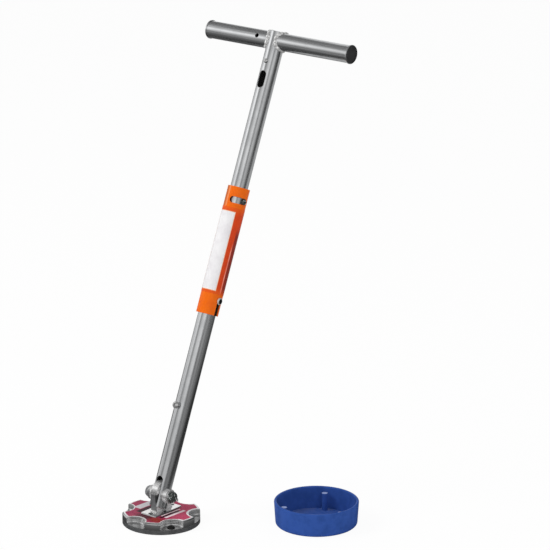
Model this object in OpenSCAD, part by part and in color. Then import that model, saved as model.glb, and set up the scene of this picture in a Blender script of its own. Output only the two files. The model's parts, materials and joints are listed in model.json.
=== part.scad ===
// Magnetic manhole cover lifter: a T-handled pole, hinged on a round magnet foot, with the
// foot's keeper cap standing beside it. The pole is in two halves, joined under a sleeve.
// Millimetres, +Z up. The origin is the centre of the magnet face on the cover.
// The hinge bolt and the handle lie along X, and the pole leans towards +Y.

/* [Pole] */
// Outer diameter of the pole and handle tubes
tube_od = 33.7; // [30:0.1:40]
// Wall of the pole and handle tubes
tube_wall = 2.6; // [2:0.1:4]
// Lean of the pole from upright, in degrees
lean = 23; // [0:1:30]
// From the hinge bolt to the handle's axis
pole_reach = 882; // [700:1:1100]
// Running gap between tubes that turn or slide in one another
turn_gap = 0.35; // [0.3:0.05:0.6]
// Gap round a screw, bolt or plug in its hole
fit_gap = 0.05; // [0.02:0.01:0.1]

/* [Handle] */
// From the pole's axis to the left end of the handle
left_reach = 162; // [120:1:220]
// From the pole's axis to the right end of the handle
right_reach = 180; // [120:1:220]
// Thickness of an end plug's flange
plug_flange_t = 3; // [2:0.5:5]
// How far a plug's flange stands out over its arm
plug_lip = 1.2; // [0:0.2:2]
// Depth of an end plug inside its arm
plug_depth = 16; // [10:1:25]
// Diameter of the vent hole in the left arm
vent_d = 8.5; // [4:0.5:9]
// From the pole's axis to the vent hole
vent_reach = 36; // [35:1:70]
// How far the vent hole is turned up from the front, in degrees
vent_rise = 8; // [0:1:30]
// Thickness of the top of the bung that closes the pole
bung_top_t = 4; // [3:0.5:6]
// Wall of the bung's skirt inside the pole
bung_wall = 3; // [2:0.5:5]
// Length of the bung's skirt below its rivet
bung_lap = 8; // [6:0.5:12]

/* [Stow slot] */
// From the handle's axis down to the middle of the slot
slot_drop = 77.5; // [70:0.5:120]
// Length of the slot
slot_length = 33; // [25:1:45]
// Width of the slot
slot_w = 15; // [14:0.5:18]
// From the handle's axis down to the bung's rivet
rivet_drop = 42; // [36:1:48]
// Diameter of the rivet's head
rivet_head_d = 9; // [7:0.5:11]
// Diameter of the rivet's shank
rivet_d = 5; // [4:0.5:6]
// Height of the rivet's head
rivet_head_h = 2.2; // [1.5:0.1:3]

/* [Coupling] */
// From the hinge bolt to the sleeve's lower edge
sleeve_foot = 350; // [250:1:420]
// Length of the sleeve
sleeve_length = 246; // [200:1:300]
// Wall of the sleeve
sleeve_wall = 4; // [3:0.5:5]
// Turn of the handle in the sleeve's window, in degrees
turn_travel = 70; // [30:5:90]
// From the sleeve's upper edge to the middle of the window
window_drop = 25; // [18:1:40]
// Height of the window
window_h = 12; // [10:0.5:16]
// Width of the slit at the sleeve's lower edge
slit_w = 9; // [8.6:0.2:12]
// From the sleeve's lower edge to the dog screw
dog_rise = 28.5; // [20:0.5:40]
// Thickness of the collar between the tube halves
collar_t = 6; // [4:0.5:10]
// Wall of the spigot inside the tubes
spigot_wall = 6; // [5:0.5:9]
// Shank diameter of the dog screw and the guide stud
stud_d = 8; // [6:0.5:8.5]
// Head diameter of the dog screw and the stow stud
stud_head_d = 13.4; // [12:0.2:14]
// Thickness of the wrap label
wrap_t = 0.3; // [0.2:0.1:0.5]
// Margin of bare sleeve below and above the wrap label
wrap_margin = 40; // [38:1:60]

/* [Stow stud] */
// From the hinge bolt to the stow stud
stow_rise = 170; // [120:1:220]
// Height of the stow stud's head above the tube
stow_proud = 11; // [8:0.5:14]

/* [Hinge] */
// Thickness of the lug in the fork
lug_t = 14; // [10:0.5:16]
// Radius of the lug's round top
lug_r = 21; // [18:0.5:24]
// How far the centre of the lug's round top lies above the hinge bolt
lug_rise = 6; // [0:0.5:8]
// Gap each side of the lug in the fork
fork_gap = 0.5; // [0.3:0.1:1]
// From the hinge bolt down to the end of the fork
fork_tail = 24; // [22:0.5:32]
// Depth of the fork above the lug
fork_crotch = 6.5; // [4:0.5:20]
// Gap under the fork's corners as they swing over the plate
swing_gap = 0.4; // [0.3:0.1:1.5]
// Diameter of the pivot bolt
bolt_d = 12; // [10:1:14]
// Diameter of a pivot boss
boss_d = 28; // [24:1:32]
// How far a pivot boss stands out of the tube
boss_proud = 5.5; // [3:0.5:9]
// Diameter of a pivot washer
washer_d = 24; // [22:0.5:28]
// Thickness of a pivot washer
washer_t = 2.5; // [1.5:0.5:4]
// Width across the flats of the bolt's head and nut
hex_af = 19; // [17:1:22]
// Height of the bolt's head
head_h = 7.5; // [6:0.5:9]
// Height of the nut
nut_h = 7; // [6:0.2:14]
// Length of bolt beyond the nut
bolt_tail = 1.5; // [1:0.5:6]
// Width of the hinge plate
plate_w = 36; // [30:1:44]
// Thickness of the hinge plate
plate_t = 2.5; // [2.5:0.5:6]
// Leg of the weld at the lug's foot
weld_leg = 4; // [1:0.2:5]

/* [Foot] */
// Diameter of the magnet foot
foot_d = 147; // [130:1:170]
// Height of the dark magnet pot
pot_h = 8.5; // [8:0.5:14]
// Height of the bright cover above the pot
cover_h = 13.5; // [10:0.5:18]
// Rounding of the cover's upper edge
shoulder_r = 3.5; // [3:0.5:6]
// Radius of a cove in the cover's edge
cove_r = 23.5; // [23.5:0.5:25]
// How far the centre of a cove lies outside the cover's edge
cove_out = 3; // [0:0.5:3]
// Rounding at the bottom of a cove
cove_fillet = 4; // [2:0.5:4]
// Height of the floor of a cove above the pot
cove_floor = 1; // [1:0.5:4]
// Diameter of a magnet
magnet_d = 36; // [30:1:38]
// Height of a magnet
magnet_h = 6; // [4:0.5:6.5]
// Rim left outside the magnets
magnet_rim = 10; // [8:0.5:14]
// Thickness of the foot's label
label_t = 0.4; // [0.2:0.1:0.6]
// Margin between the label and the cover's edges
label_margin = 1; // [1:0.5:3]
// Head diameter of a plate screw
screw_head_d = 9.4; // [8:0.2:12]
// Shank diameter of a plate screw
screw_d = 5; // [4:0.5:6]
// Diameter of the plug in the drilled cove
rim_plug_d = 15; // [12:0.5:15]
// Height of the plug's dome
rim_plug_h = 6; // [5:0.5:6]

/* [Keeper cap] */
// Wall of the cap
cap_wall = 5.5; // [2:0.5:6]
// Height of the cap
cap_h = 46; // [40:1:60]
// How much narrower the cap is at its foot than at its mouth, on each side
cap_draft = 3; // [1:0.5:4]
// Rounding of the cap's lower edge
cap_round = 5; // [3:0.5:8]
// Thickness of the cap's floor
cap_floor = 3.5; // [2.5:0.5:5]
// Gap between the cap and the foot
cap_gap = 0.6; // [0.3:0.1:1]
// Diameter of a post in the cap
post_d = 11; // [8:0.5:14]
// Gap between a post and the cap's wall
post_gap = 3; // [1:0.5:5]
// Place of the cap beside the foot, along X
cap_x = 233; // [200:1:300]
// Place of the cap beside the foot, along Y
cap_y = 177; // [150:1:300]

/* [Hidden] */
$fn = 96;

// Overrun of every cut
over = 1;

// Counts and the turns of repeated features
cove_count = 6;
cove_turn = 27;
post_count = 3;
post_turn = -6;
plug_turn = cove_turn - 360 / cove_count;

// Tube radii
tube_r = tube_od / 2;
tube_ir = tube_r - tube_wall;
sleeve_ir = tube_r + turn_gap;
sleeve_r = sleeve_ir + sleeve_wall;
wrap_r = sleeve_r + fit_gap;
spigot_r = tube_ir - turn_gap;
spigot_ir = spigot_r - spigot_wall;

// Heights in the foot, and of the hinge axis: the fork's corners just clear the plate
foot_r = foot_d / 2;
cover_top = pot_h + cover_h;
plate_top = cover_top + plate_t;
fork_corner_r = norm([fork_tail, tube_r]);
hinge_z = plate_top + fork_corner_r + swing_gap;

// The fork
fork_w = lug_t + 2 * fork_gap;
fork_top = lug_rise + lug_r + fork_crotch;
boss_reach = tube_r + boss_proud;
clamp_reach = boss_reach + washer_t;
bolt_r = bolt_d / 2;
bolt_hole_r = bolt_r + fit_gap;

// The hinge plate holds a countersunk screw before and behind the lug
screw_margin = 2;
screw_y = lug_r + weld_leg + screw_head_d / 2 + screw_margin / 2;
plate_l = 2 * (screw_y + screw_head_d / 2 + screw_margin);
screw_sink = (screw_head_d - screw_d) / 2;
screw_tip = pot_h / 2;
corner_r = 2;
weld_hollow_share = 0.85;

// Places along the pole, from the hinge axis
joint_s = sleeve_foot + sleeve_length / 2;
sleeve_top = sleeve_foot + sleeve_length;
window_s = sleeve_top - window_drop;
dog_s = sleeve_foot + dog_rise;
slot_s = pole_reach - slot_drop;
rivet_s = pole_reach - rivet_drop;
pole_top = pole_reach + tube_r;

// The studs: the guide stud's head fills the window and its tip runs in the spigot's groove
stud_r = stud_d / 2;
socket_af_share = 0.42;
socket_depth_share = 0.5;
guide_head_r = window_h / 2 - turn_gap;
groove_depth = spigot_wall / 2;
groove_h = stud_d + 2 * turn_gap;
guide_head_rim = 0.2;
button_rim_share = 0.12;
button_h_share = 0.32;
shank_end_r = spigot_ir + spigot_wall / 3;
spigot_reach = 2 * stud_d;

// From the pole's axis to the cut tips of the arms' copes
arm_root = 10;

// Depth of the dish in an end plug's face
plug_dish = plug_flange_t / 4;

// The bung's rivet goes through the tube and the skirt
bung_r = tube_ir - fit_gap;
bung_low = rivet_s - bung_lap;
rivet_rim = 0.4;

// The cover's flat top and the circle of magnets
cover_flat_r = foot_r - shoulder_r;
magnet_circle_r = foot_r - magnet_rim - magnet_d / 2;
magnet_lift = 0.5;
plug_inset = 0.3;
plug_circle_r = foot_r - rim_plug_d / 2 - plug_inset;

// The cap covers the pot, which stands on the posts; its walls lean outwards
cap_slope = cap_draft / cap_h;
cap_ir = foot_r + cap_gap + cap_slope * pot_h;
cap_r = cap_ir + cap_wall;
cap_edge_r = cap_wall / 2;
cap_tilt = atan(cap_slope);
cap_round_x = cap_r - cap_draft - cap_round * (1 - sin(cap_tilt)) / cos(cap_tilt);
post_top = cap_h - pot_h;
post_circle_r = cap_ir - cap_draft - post_gap - post_d / 2;

// Moves pole pieces from an upright pole at the origin to the leaning pole on its hinge
module on_pole() {
  translate([0, 0, hinge_z]) rotate([-lean, 0, 0]) children();
}

// Points +Z out of the pole, at a height along it and a turn from its front (-Y) towards +X
module radial(along, turn) {
  translate([0, 0, along]) rotate([90, 0, turn]) children();
}

// Turns +Z to +X, for what lies along the hinge bolt or the handle
module along_x() {
  rotate([0, 90, 0]) children();
}

module pipe(outer, inner, from, to) {
  translate([0, 0, from]) difference() {
    cylinder(r = outer, h = to - from);
    translate([0, 0, -over]) cylinder(r = inner, h = to - from + 2 * over);
  }
}

// A hexagon prism given by its width across the flats
module hex_prism(af, h) {
  cylinder(r = af / sqrt(3), h = h, $fn = 6);
}

// A round head with a domed top, standing on its rim
module dome(d, rim, h) {
  rotate_extrude() dome_section(d, rim, h);
}

module dome_section(d, rim, h) {
  ball = (d * d / 4 + (h - rim) * (h - rim)) / (2 * (h - rim));
  square([d / 2, rim]);
  translate([0, rim]) intersection() {
    square([d / 2, h - rim]);
    translate([0, h - rim - ball]) circle(r = ball);
  }
}

// A countersunk screw with its head's face at zero, pointing down
module sunk_screw(head_d, d, length, grow) {
  sink = (head_d - d) / 2;
  translate([0, 0, -sink]) cylinder(r1 = d / 2 + grow, r2 = head_d / 2 + grow, h = sink);
  translate([0, 0, -length - grow]) cylinder(r = d / 2 + grow, h = length - sink + grow);
}

// A plate's outline with rounded corners
module round_rect(w, l, r) {
  square([w - 2 * r, l], center = true);
  square([w, l - 2 * r], center = true);
  for (x = [-1, 1], y = [-1, 1])
    translate([x * (w / 2 - r), y * (l / 2 - r)]) circle(r = r);
}

// The dark pot: a steel disc whose face holds a ring of magnets
module magnet_pot() {
  color("dimgray") difference() {
    cylinder(r = foot_r, h = pot_h);
    at_magnets() translate([0, 0, -over])
      cylinder(r = magnet_d / 2 + fit_gap, h = magnet_lift + magnet_h + over);
    at_plate_screws() sunk_screw(screw_head_d, screw_d, plate_top - screw_tip, fit_gap);
  }
}

module at_magnets() {
  for (i = [0:cove_count - 1])
    rotate([0, 0, i * 360 / cove_count]) translate([magnet_circle_r, 0, 0]) children();
}

module magnets() {
  color("silver") at_magnets() translate([0, 0, magnet_lift]) cylinder(r = magnet_d / 2, h = magnet_h);
}

// One cove: a round pocket with a filleted floor, open at the cover's edge
module cove_cut() {
  depth = cover_h - cove_floor + over;
  rotate_extrude() {
    square([cove_r - cove_fillet, depth]);
    translate([0, cove_fillet]) square([cove_r, depth - cove_fillet]);
    translate([cove_r - cove_fillet, cove_fillet]) circle(r = cove_fillet);
  }
}

module at_coves() {
  for (i = [0:cove_count - 1])
    rotate([0, 0, cove_turn + i * 360 / cove_count]) translate([foot_r + cove_out, 0, 0]) children();
}

// The bright cover: a round-shouldered disc with a cove between each pair of lobes
module foot_cover() {
  color("gainsboro") difference() {
    translate([0, 0, pot_h]) rotate_extrude() {
      square([foot_r, cover_h - shoulder_r]);
      square([cover_flat_r, cover_h]);
      translate([cover_flat_r, cover_h - shoulder_r]) intersection() {
        circle(r = shoulder_r);
        square(shoulder_r);
      }
    }
    translate([0, 0, pot_h + cove_floor]) at_coves() cove_cut();
    at_rim_plug() cylinder(r = rim_plug_d / 4 + fit_gap, h = cover_h);
    at_plate_screws() sunk_screw(screw_head_d, screw_d, plate_top - screw_tip, fit_gap);
  }
}

module at_rim_plug() {
  rotate([0, 0, plug_turn]) translate([plug_circle_r, 0, pot_h]) children();
}

// The plug in the one drilled cove
module rim_plug() {
  color("black") at_rim_plug() rotate_extrude() {
    square([rim_plug_d / 4, cove_floor]);
    translate([0, cove_floor]) dome_section(rim_plug_d, rim_plug_h / 4, rim_plug_h);
  }
}

// The lobed label on the cover, cut out round the hinge plate
module foot_label() {
  color("crimson") translate([0, 0, cover_top]) linear_extrude(label_t) difference() {
    circle(r = cover_flat_r - label_margin);
    at_coves() circle(r = cove_r + label_margin);
    square([plate_w + 2 * label_t, plate_l + 2 * label_t], center = true);
  }
}

module at_plate_screws() {
  for (y = [-screw_y, screw_y]) translate([0, y, plate_top]) children();
}

module hinge_plate() {
  color("silver") difference() {
    translate([0, 0, cover_top]) linear_extrude(plate_t) round_rect(plate_w, plate_l, corner_r);
    at_plate_screws() sunk_screw(screw_head_d, screw_d, plate_top - screw_tip, fit_gap);
  }
}

module plate_screws() {
  color("darkgray") at_plate_screws() difference() {
    sunk_screw(screw_head_d, screw_d, plate_top - screw_tip, 0);
    translate([0, 0, -screw_sink]) hex_prism(screw_head_d * socket_af_share, screw_sink + over);
  }
}

// The lug that the fork turns on: a thick plate with a round top, on the hinge plate
module hinge_lug() {
  rise = hinge_z - plate_top;
  color("gray") translate([-lug_t / 2, 0, hinge_z]) rotate([90, 0, 90]) linear_extrude(lug_t) difference() {
    union() {
      translate([0, lug_rise]) circle(r = lug_r);
      translate([-lug_r, -rise]) square([2 * lug_r, rise + lug_rise]);
    }
    circle(r = bolt_hole_r);
  }
}

// The bolt's hole through the pole pieces
module bolt_drill() {
  along_x() translate([0, 0, -boss_reach - over]) cylinder(r = bolt_hole_r, h = 2 * (boss_reach + over));
}

// Weld beads at the lug's front and back
module lug_welds() {
  color("lightgray") for (side = [0, 1]) mirror([0, side, 0]) translate([0, lug_r, plate_top])
    along_x() translate([0, 0, -lug_t / 2]) linear_extrude(lug_t) difference() {
      polygon([[0, 0], [-weld_leg, 0], [0, weld_leg]]);
      translate([-weld_leg, weld_leg]) circle(r = weld_leg * weld_hollow_share);
    }
}

// The lower half of the pole, forked round the lug at its foot
module lower_tube() {
  color("lightgray") on_pole() difference() {
    pipe(tube_r, tube_ir, -fork_tail, joint_s - collar_t / 2);
    fork_cut();
    bolt_drill();
    radial(dog_s, 90) cylinder(r = stud_r + fit_gap, h = tube_r + over);
    radial(stow_rise, 0) cylinder(r = stud_r + fit_gap, h = tube_r + over);
  }
}

// The fork's slot, with a round crotch, cut right through the tube
module fork_cut() {
  straight = fork_top - fork_w / 2;
  translate([-fork_w / 2, -tube_r - over, -fork_tail - over])
    cube([fork_w, 2 * (tube_r + over), fork_tail + straight + over]);
  translate([0, tube_r + over, straight]) rotate([90, 0, 0])
    cylinder(r = fork_w / 2, h = 2 * (tube_r + over));
}

// Collars on the fork's sides that carry the bolt, saddled to the tube
module pivot_bosses() {
  color("silver") on_pole() for (side = [0, 1]) mirror([side, 0, 0]) difference() {
    saddled(0, boss_d) along_x() cylinder(r = boss_d / 2, h = boss_reach);
    bolt_drill();
  }
}

module pivot_washers() {
  color("whitesmoke") on_pole() for (side = [0, 1]) mirror([side, 0, 0])
    along_x() translate([0, 0, boss_reach]) pipe(washer_d / 2, bolt_hole_r, 0, washer_t);
}

module pivot_bolt() {
  shank = 2 * clamp_reach + nut_h + bolt_tail;
  color("darkslategray") on_pole() along_x() {
    translate([0, 0, clamp_reach - shank]) cylinder(r = bolt_r, h = shank);
    translate([0, 0, clamp_reach]) chamfered_hex(head_h);
  }
}

// A hexagon whose outer corners are turned off
module chamfered_hex(h) {
  corner = hex_af / sqrt(3);
  flat = hex_af / 2;
  intersection() {
    hex_prism(hex_af, h);
    union() {
      cylinder(r = corner, h = h - (corner - flat));
      translate([0, 0, h - (corner - flat)]) cylinder(r1 = corner, r2 = flat, h = corner - flat);
    }
  }
}

module pivot_nut() {
  color("silver") on_pole() rotate([0, -90, 0]) translate([0, 0, clamp_reach]) difference() {
    chamfered_hex(nut_h);
    translate([0, 0, -over]) cylinder(r = bolt_hole_r, h = nut_h + 2 * over);
  }
}

// The headed stud that drops into the stow slot when the halves lie side by side
module stow_stud() {
  head = stow_proud / 2;
  neck_top = tube_r + stow_proud - head;
  shank_end = tube_ir - tube_wall;
  color("silver") on_pole() radial(stow_rise, 0) difference() {
    union() {
      translate([0, 0, shank_end]) cylinder(r = stud_r, h = neck_top - shank_end);
      translate([0, 0, neck_top]) dome(stud_head_d, head / 2, head);
    }
    translate([0, 0, neck_top + head * (1 - socket_depth_share)])
      hex_prism(stud_head_d * socket_af_share, head);
  }
}

// The spigot joins the halves: its collar parts them, and its groove holds the guide stud's tip
module coupling_spigot() {
  color("darkgray") on_pole() difference() {
    union() {
      pipe(spigot_r, spigot_ir, dog_s - spigot_reach, window_s + spigot_reach);
      pipe(tube_r, spigot_ir, joint_s - collar_t / 2, joint_s + collar_t / 2);
    }
    pipe(spigot_r + over, spigot_r - groove_depth, window_s - groove_h / 2, window_s + groove_h / 2);
    radial(dog_s, 90) cylinder(r = stud_r + fit_gap, h = spigot_r + over);
  }
}

// The sleeve over the joint: a window for the guide stud and a slit for the dog screw
module lock_sleeve() {
  color("orangered") on_pole() difference() {
    pipe(sleeve_r, sleeve_ir, sleeve_foot, sleeve_top);
    window_cut();
    slit_cut();
  }
}

// The window: a round hole at each end of the guide stud's travel, and the band between them
module window_cut() {
  for (turn = [90 - turn_travel, 90]) sleeve_drill(window_s, turn, window_h / 2);
  translate([0, 0, window_s]) rotate([0, 0, -turn_travel]) rotate_extrude(angle = turn_travel)
    translate([tube_r, -window_h / 2]) square([sleeve_r - tube_r + over, window_h]);
}

module slit_cut() {
  sleeve_drill(dog_s, 90, slit_w / 2);
  translate([tube_r, -slit_w / 2, sleeve_foot - over])
    cube([sleeve_r - tube_r + over, slit_w, dog_rise + over]);
}

module sleeve_drill(along, turn, r) {
  radial(along, turn) translate([0, 0, tube_ir]) cylinder(r = r, h = sleeve_r - tube_ir + over);
}

// The label wrapped round the sleeve
module sleeve_label() {
  color("red") on_pole()
    pipe(wrap_r + wrap_t, wrap_r, sleeve_foot + wrap_margin, sleeve_top - wrap_margin);
}

// The button-headed screw in the slit, which keeps the sleeve from turning on the lower half
module dog_screw() {
  seat = sleeve_r + fit_gap;
  head = stud_head_d * button_h_share;
  color("silver") on_pole() radial(dog_s, 90) difference() {
    union() {
      translate([0, 0, shank_end_r]) cylinder(r = stud_r, h = seat - shank_end_r);
      translate([0, 0, seat]) dome(stud_head_d, stud_head_d * button_rim_share, head);
    }
    translate([0, 0, seat + head * (1 - socket_depth_share)])
      hex_prism(stud_head_d * socket_af_share, head);
  }
}

// The upper half of the pole, with the stow slot under the handle
module upper_tube() {
  color("lightgray") on_pole() difference() {
    pipe(tube_r, tube_ir, joint_s + collar_t / 2, pole_top);
    radial(slot_s, 0) linear_extrude(tube_r + over) slot_outline();
    radial(rivet_s, 0) cylinder(r = rivet_d / 2 + fit_gap, h = tube_r + over);
    radial(window_s, 90) cylinder(r = stud_r + fit_gap, h = tube_r + over);
  }
}

module slot_outline() {
  half = (slot_length - slot_w) / 2;
  square([slot_w, 2 * half], center = true);
  for (y = [-half, half]) translate([0, y]) circle(r = slot_w / 2);
}

// The stud of the upper half: its head, saddled to the tube, runs in the sleeve's window
module guide_stud() {
  head_top = sleeve_r - guide_head_rim;
  tip = spigot_r - groove_depth + turn_gap;
  socket_depth = sleeve_wall * socket_depth_share;
  color("silver") on_pole() difference() {
    union() {
      radial(window_s, 90) translate([0, 0, tip]) cylinder(r = stud_r, h = head_top - tip);
      saddled(window_s, window_h) radial(window_s, 90)
        translate([0, 0, tube_ir]) cylinder(r = guide_head_r, h = head_top - tube_ir);
    }
    radial(window_s, 90) translate([0, 0, head_top - socket_depth])
      hex_prism(2 * guide_head_r * socket_af_share, sleeve_wall);
  }
}

// Cuts the pole's outside from what sits on it
module saddled(along, reach) {
  difference() {
    children();
    translate([0, 0, along - reach]) cylinder(r = tube_r, h = 2 * reach);
  }
}

// One arm of the handle, coped to the pole, with the tips of the cope cut off
module arm(length) {
  saddled(pole_reach, tube_od) translate([0, 0, pole_reach]) along_x()
    pipe(tube_r, tube_ir, arm_root, length);
}

module left_arm() {
  color("lightgray") on_pole() difference() {
    mirror([1, 0, 0]) arm(left_reach - plug_flange_t);
    translate([-vent_reach, 0, pole_reach]) rotate([90 - vent_rise, 0, 0])
      cylinder(r = vent_d / 2, h = tube_r + over);
  }
}

module right_arm() {
  color("lightgray") on_pole() arm(right_reach - plug_flange_t);
}

// A plastic plug: a flange over the arm's end and a hollow stem inside it
module end_plug(reach) {
  stem_r = tube_ir - fit_gap;
  flange_r = tube_r + plug_lip;
  edge = plug_flange_t / 2;
  translate([0, 0, pole_reach]) along_x() {
    translate([0, 0, reach - plug_flange_t]) rotate_extrude() {
      square([flange_r - edge, plug_flange_t - plug_dish]);
      translate([flange_r - 2 * edge, 0]) square([edge, plug_flange_t]);
      square([flange_r, edge]);
      translate([flange_r - edge, edge]) circle(r = edge);
    }
    pipe(stem_r, stem_r - tube_wall, reach - plug_flange_t - plug_depth, reach - plug_flange_t);
  }
}

module left_end_plug() {
  color("black") on_pole() mirror([1, 0, 0]) end_plug(left_reach);
}

module right_end_plug() {
  color("black") on_pole() end_plug(right_reach);
}

// The plastic bung that closes the top of the pole: a top and a skirt
module top_bung() {
  color("black") on_pole() difference() {
    union() {
      pipe(bung_r, bung_r - bung_wall, bung_low, pole_top - bung_top_t);
      translate([0, 0, pole_top - bung_top_t]) cylinder(r = bung_r, h = bung_top_t);
    }
    radial(rivet_s, 0) cylinder(r = rivet_d / 2 + fit_gap, h = tube_r + over);
  }
}

// The domed rivet that holds the bung, saddled to the tube
module bung_rivet() {
  inside = bung_r - bung_wall;
  seat = tube_r - bung_r;
  color("silver") on_pole() {
    radial(rivet_s, 0) translate([0, 0, inside]) cylinder(r = rivet_d / 2, h = tube_r + rivet_rim - inside);
    saddled(rivet_s, rivet_head_d) radial(rivet_s, 0)
      translate([0, 0, bung_r]) dome(rivet_head_d, seat + rivet_rim, seat + rivet_head_h);
  }
}

// The plastic keeper cap: a cup with three posts that the pot stands on
module magnet_cap() {
  color("royalblue") translate([cap_x, cap_y, 0]) {
    rotate_extrude() cap_section();
    for (i = [0:post_count - 1])
      rotate([0, 0, post_turn + i * 360 / post_count]) translate([post_circle_r, 0, 0]) cap_post();
  }
}

// Half of the cap's section: a round-edged floor and a leaning wall with a round lip
module cap_section() {
  lip_z = cap_h - cap_edge_r;
  lip_in = cap_slope * cap_edge_r;
  difference() {
    union() {
      polygon([
        [0, 0], [cap_round_x, 0],
        [cap_round_x + cap_round * cos(cap_tilt), cap_round * (1 - sin(cap_tilt))],
        [cap_r - lip_in, lip_z], [0, lip_z]
      ]);
      translate([cap_round_x, cap_round]) circle(r = cap_round);
    }
    polygon([
      [-over, cap_floor], [cap_ir - cap_draft + cap_slope * cap_floor, cap_floor],
      [cap_ir - lip_in, lip_z], [cap_ir - lip_in, cap_h], [-over, cap_h]
    ]);
  }
  translate([cap_ir - lip_in + cap_edge_r, lip_z]) circle(r = cap_edge_r);
}

module cap_post() {
  translate([0, 0, cap_floor - over]) cylinder(r = post_d / 2, h = post_top - cap_floor + over);
}

magnet_pot();
magnets();
foot_cover();
foot_label();
rim_plug();
hinge_plate();
plate_screws();
hinge_lug();
lug_welds();
lower_tube();
pivot_bosses();
pivot_bolt();
pivot_nut();
pivot_washers();
stow_stud();
coupling_spigot();
lock_sleeve();
sleeve_label();
dog_screw();
upper_tube();
guide_stud();
left_arm();
right_arm();
left_end_plug();
right_end_plug();
top_bung();
bung_rivet();
magnet_cap();
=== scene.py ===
# The looks of a magnetic manhole cover lifter: its finishes, its welds, its printed labels,
# and a plain studio to see it in. Metres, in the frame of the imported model.
import json
import math

import bpy
from mathutils import Matrix, Vector


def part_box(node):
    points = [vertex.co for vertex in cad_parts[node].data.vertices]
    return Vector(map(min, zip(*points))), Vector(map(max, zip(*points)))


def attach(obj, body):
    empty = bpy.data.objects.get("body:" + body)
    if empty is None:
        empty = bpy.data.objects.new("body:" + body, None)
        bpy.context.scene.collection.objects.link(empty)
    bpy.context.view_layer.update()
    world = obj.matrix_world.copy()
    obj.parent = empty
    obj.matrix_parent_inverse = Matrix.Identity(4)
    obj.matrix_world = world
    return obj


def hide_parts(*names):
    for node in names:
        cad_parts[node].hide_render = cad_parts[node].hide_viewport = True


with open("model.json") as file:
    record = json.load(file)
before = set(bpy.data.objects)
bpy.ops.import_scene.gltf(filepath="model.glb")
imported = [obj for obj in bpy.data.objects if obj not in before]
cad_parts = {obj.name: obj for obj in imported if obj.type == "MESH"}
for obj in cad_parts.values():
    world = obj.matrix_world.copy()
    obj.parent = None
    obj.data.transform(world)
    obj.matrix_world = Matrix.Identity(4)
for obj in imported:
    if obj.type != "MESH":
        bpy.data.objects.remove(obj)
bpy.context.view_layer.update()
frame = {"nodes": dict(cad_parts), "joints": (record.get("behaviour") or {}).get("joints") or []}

nodes = frame["nodes"]
joints = {joint["name"]: joint for joint in frame["joints"]}
mm = 0.001


# Sizes and places, read from the frame

hinge = Vector(joints["foot_hinge"]["pos_m"])
pole_up = -Vector(joints["handle_turn"]["axis"]).normalized()
lean = math.atan2(pole_up.y, pole_up.z)
pole = Matrix.Translation(hinge) @ Matrix.Rotation(-lean, 4, "X")
to_pole = pole.inverted()


def size_of(node):
    low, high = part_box(node)
    return high - low


def centre_of(node):
    low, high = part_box(node)
    return (low + high) / 2


tube_r = size_of("right_arm").z / 2
sleeve_r = size_of("lock_sleeve").x / 2
label_r = size_of("sleeve_label").x / 2
label_length = (size_of("sleeve_label").z - 2 * label_r * math.sin(lean)) / math.cos(lean)
handle_z = (to_pole @ centre_of("right_arm")).z
sleeve_mid = (to_pole @ centre_of("lock_sleeve")).z
foot_r = size_of("foot_cover").x / 2
plate_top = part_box("hinge_plate")[1].z
lug_size = size_of("hinge_lug")
# The coves cut into the foot's rim, and the gap between them and the label
COVE_COUNT = 6
COVE_TURN = math.radians(27)
COVE_OUT = 3 * mm
COVE_R = 23.5 * mm
LABEL_MARGIN = 1 * mm


# Shader building blocks

def add(tree, kind, inputs=None, **settings):
    """A shader node with its settings, and its inputs set to values or linked to sockets."""
    made = tree.nodes.new(kind)
    for name, value in settings.items():
        setattr(made, name, value)
    for key, value in (inputs or {}).items():
        if isinstance(value, bpy.types.NodeSocket):
            tree.links.new(value, made.inputs[key])
        else:
            made.inputs[key].default_value = value
    return made


def calc(tree, operation, *values):
    return add(tree, "ShaderNodeMath", dict(enumerate(values)), operation=operation).outputs[0]


def mix(tree, factor, low, high):
    made = add(tree, "ShaderNodeMix", {"Factor": factor, "A": low, "B": high}, data_type="FLOAT")
    return made.outputs[0]


def tint(tree, factor, low, high):
    made = tree.nodes.new("ShaderNodeMix")
    made.data_type = "RGBA"
    for index, value in ((0, factor), (6, low), (7, high)):
        if isinstance(value, bpy.types.NodeSocket):
            tree.links.new(value, made.inputs[index])
        else:
            made.inputs[index].default_value = value if index == 0 else (*value, 1)
    return made.outputs[2]


def spread(tree, value, low, high, out_low=0.0, out_high=1.0):
    """A value's stretch from low to high, eased, onto another stretch."""
    inputs = {"Value": value, "From Min": low, "From Max": high, "To Min": out_low, "To Max": out_high}
    return add(tree, "ShaderNodeMapRange", inputs, interpolation_type="SMOOTHSTEP").outputs[0]


def noise(tree, vector, scale, detail=3.0, roughness=0.5):
    inputs = {"Vector": vector, "Scale": scale, "Detail": detail, "Roughness": roughness}
    return add(tree, "ShaderNodeTexNoise", inputs).outputs["Fac"]


def object_coordinates(tree):
    return add(tree, "ShaderNodeTexCoord").outputs["Object"]


def object_normal(tree):
    """The normal in the piece's own axes, so that a mask by it stays on the piece in every pose."""
    return add(tree, "ShaderNodeTexCoord").outputs["Normal"]


def parts_of(tree, vector):
    return add(tree, "ShaderNodeSeparateXYZ", {"Vector": vector}).outputs


def length_of(tree, vector):
    return add(tree, "ShaderNodeVectorMath", {0: vector}, operation="LENGTH").outputs["Value"]


def distance_from(tree, vector, point, plane):
    """How far a place is from a line through a point, where the plane has 1 for each axis across the line."""
    offset = add(tree, "ShaderNodeVectorMath", {0: vector, 1: point}, operation="SUBTRACT").outputs[0]
    across = add(tree, "ShaderNodeVectorMath", {0: offset, 1: plane}, operation="MULTIPLY").outputs[0]
    return length_of(tree, across)


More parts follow.
